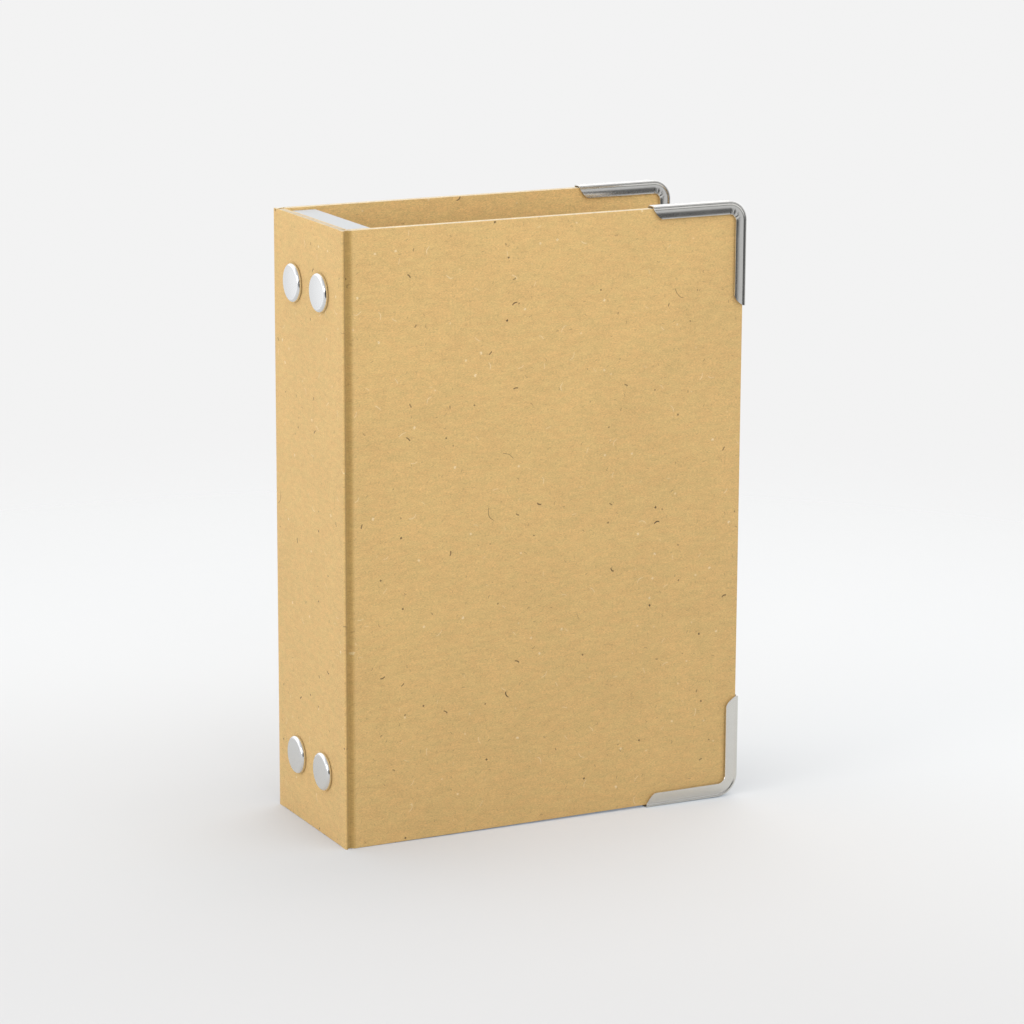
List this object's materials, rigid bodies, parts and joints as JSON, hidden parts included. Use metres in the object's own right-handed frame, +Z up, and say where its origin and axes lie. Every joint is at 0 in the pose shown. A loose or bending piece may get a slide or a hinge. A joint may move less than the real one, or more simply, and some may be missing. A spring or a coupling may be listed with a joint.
{
  "type": "scrapbook album",
  "caption": "Small kraft-board album with metal cover corners, a riveted spine, white rod holders and thin booklets hung on steel rods.",
  "frame": {"origin": "under the middle of the album's outer box, on the surface it stands on", "axes": "+X from the spine to the fore-edge, +Y from the front cover to the rear cover, +Z up along the spine"},
  "size_m": [0.1022, 0.039, 0.1412],
  "materials": {
    "kraft_face": "uncoated kraft paper with short dark fibres",
    "board_core": "raw edge of dense kraft board",
    "crease": "pressed crease in kraft board",
    "nickel": "polished nickel plating",
    "holder_plastic": "smooth white moulded plastic",
    "rod_steel": "drawn steel wire",
    "booklet_card": "brown craft card",
    "booklet_pages": "cream album paper"
  },
  "bodies": {
    "spine": {"spine_board": "board_core", "spine_outer_kraft": "kraft_face", "spine_inner_kraft": "kraft_face", "front_crease": "crease", "rear_crease": "crease", "top_rod_holder": "holder_plastic", "bottom_rod_holder": "holder_plastic", "rivet_head_bottom_front": "nickel", "rivet_back_bottom_front": "nickel", "rivet_head_bottom_rear": "nickel", "rivet_back_bottom_rear": "nickel", "rivet_head_top_front": "nickel", "rivet_back_top_front": "nickel", "rivet_head_top_rear": "nickel", "rivet_back_top_rear": "nickel"},
    "front_cover": {"front_board": "board_core", "front_outer_kraft": "kraft_face", "front_inner_kraft": "kraft_face", "front_top_corner": "nickel", "front_bottom_corner": "nickel"},
    "rear_cover": {"rear_board": "board_core", "rear_outer_kraft": "kraft_face", "rear_inner_kraft": "kraft_face", "rear_top_corner": "nickel", "rear_bottom_corner": "nickel"},
    "rod_1": {"rod_1": "rod_steel"},
    "booklet_1": {"booklet_1_card": "booklet_card", "booklet_1_pages": "booklet_pages"},
    "rod_2": {"rod_2": "rod_steel"},
    "booklet_2": {"booklet_2_card": "booklet_card", "booklet_2_pages": "booklet_pages"},
    "rod_3": {"rod_3": "rod_steel"},
    "booklet_3": {"booklet_3_card": "booklet_card", "booklet_3_pages": "booklet_pages"},
    "rod_4": {"rod_4": "rod_steel"},
    "booklet_4": {"booklet_4_card": "booklet_card", "booklet_4_pages": "booklet_pages"},
    "rod_5": {"rod_5": "rod_steel"},
    "booklet_5": {"booklet_5_card": "booklet_card", "booklet_5_pages": "booklet_pages"}
  },
  "joints": [
    {"name": "front_cover_hinge", "type": "hinge", "parent": "spine", "child": "front_cover", "pos_m": [-0.04838, -0.0181, 0.0006], "axis": [0, 0, -1], "range_deg": [0, 180]},
    {"name": "rear_cover_hinge", "type": "hinge", "parent": "spine", "child": "rear_cover", "pos_m": [-0.04838, 0.0181, 0.0006], "axis": [0, 0, 1], "range_deg": [0, 180]},
    {"name": "rod_1_lift", "type": "slide", "parent": "spine", "child": "rod_1", "axis": [0, 0, 1], "range_m": [0, 0.0022]},
    {"name": "booklet_1_turn", "type": "hinge", "parent": "spine", "child": "booklet_1", "pos_m": [-0.04267, -0.012, 0.0086], "axis": [0, 0, -1], "range_deg": [0, 90]},
    {"name": "rod_2_lift", "type": "slide", "parent": "spine", "child": "rod_2", "axis": [0, 0, 1], "range_m": [0, 0.0022]},
    {"name": "booklet_2_turn", "type": "hinge", "parent": "spine", "child": "booklet_2", "pos_m": [-0.04267, -0.006, 0.0086], "axis": [0, 0, -1], "range_deg": [0, 36]},
    {"name": "rod_3_lift", "type": "slide", "parent": "spine", "child": "rod_3", "axis": [0, 0, 1], "range_m": [0, 0.0022]},
    {"name": "booklet_3_turn", "type": "hinge", "parent": "spine", "child": "booklet_3", "pos_m": [-0.04267, 0, 0.0086], "axis": [0, 0, -1], "range_deg": [0, 27]},
    {"name": "rod_4_lift", "type": "slide", "parent": "spine", "child": "rod_4", "axis": [0, 0, 1], "range_m": [0, 0.0022]},
    {"name": "booklet_4_turn", "type": "hinge", "parent": "spine", "child": "booklet_4", "pos_m": [-0.04267, 0.006, 0.0086], "axis": [0, 0, -1], "range_deg": [0, 18]},
    {"name": "rod_5_lift", "type": "slide", "parent": "spine", "child": "rod_5", "axis": [0, 0, 1], "range_m": [0, 0.0022]},
    {"name": "booklet_5_turn", "type": "hinge", "parent": "spine", "child": "booklet_5", "pos_m": [-0.04267, 0.012, 0.0086], "axis": [0, 0, -1], "range_deg": [0, 9]}
  ],
  "couplings": [
    {"joint": "booklet_1_turn", "follows": "front_cover_hinge", "ratio": 0.5},
    {"joint": "booklet_2_turn", "follows": "front_cover_hinge", "ratio": 0.2},
    {"joint": "booklet_3_turn", "follows": "front_cover_hinge", "ratio": 0.15},
    {"joint": "booklet_4_turn", "follows": "front_cover_hinge", "ratio": 0.1},
    {"joint": "booklet_5_turn", "follows": "front_cover_hinge", "ratio": 0.05}
  ]
}
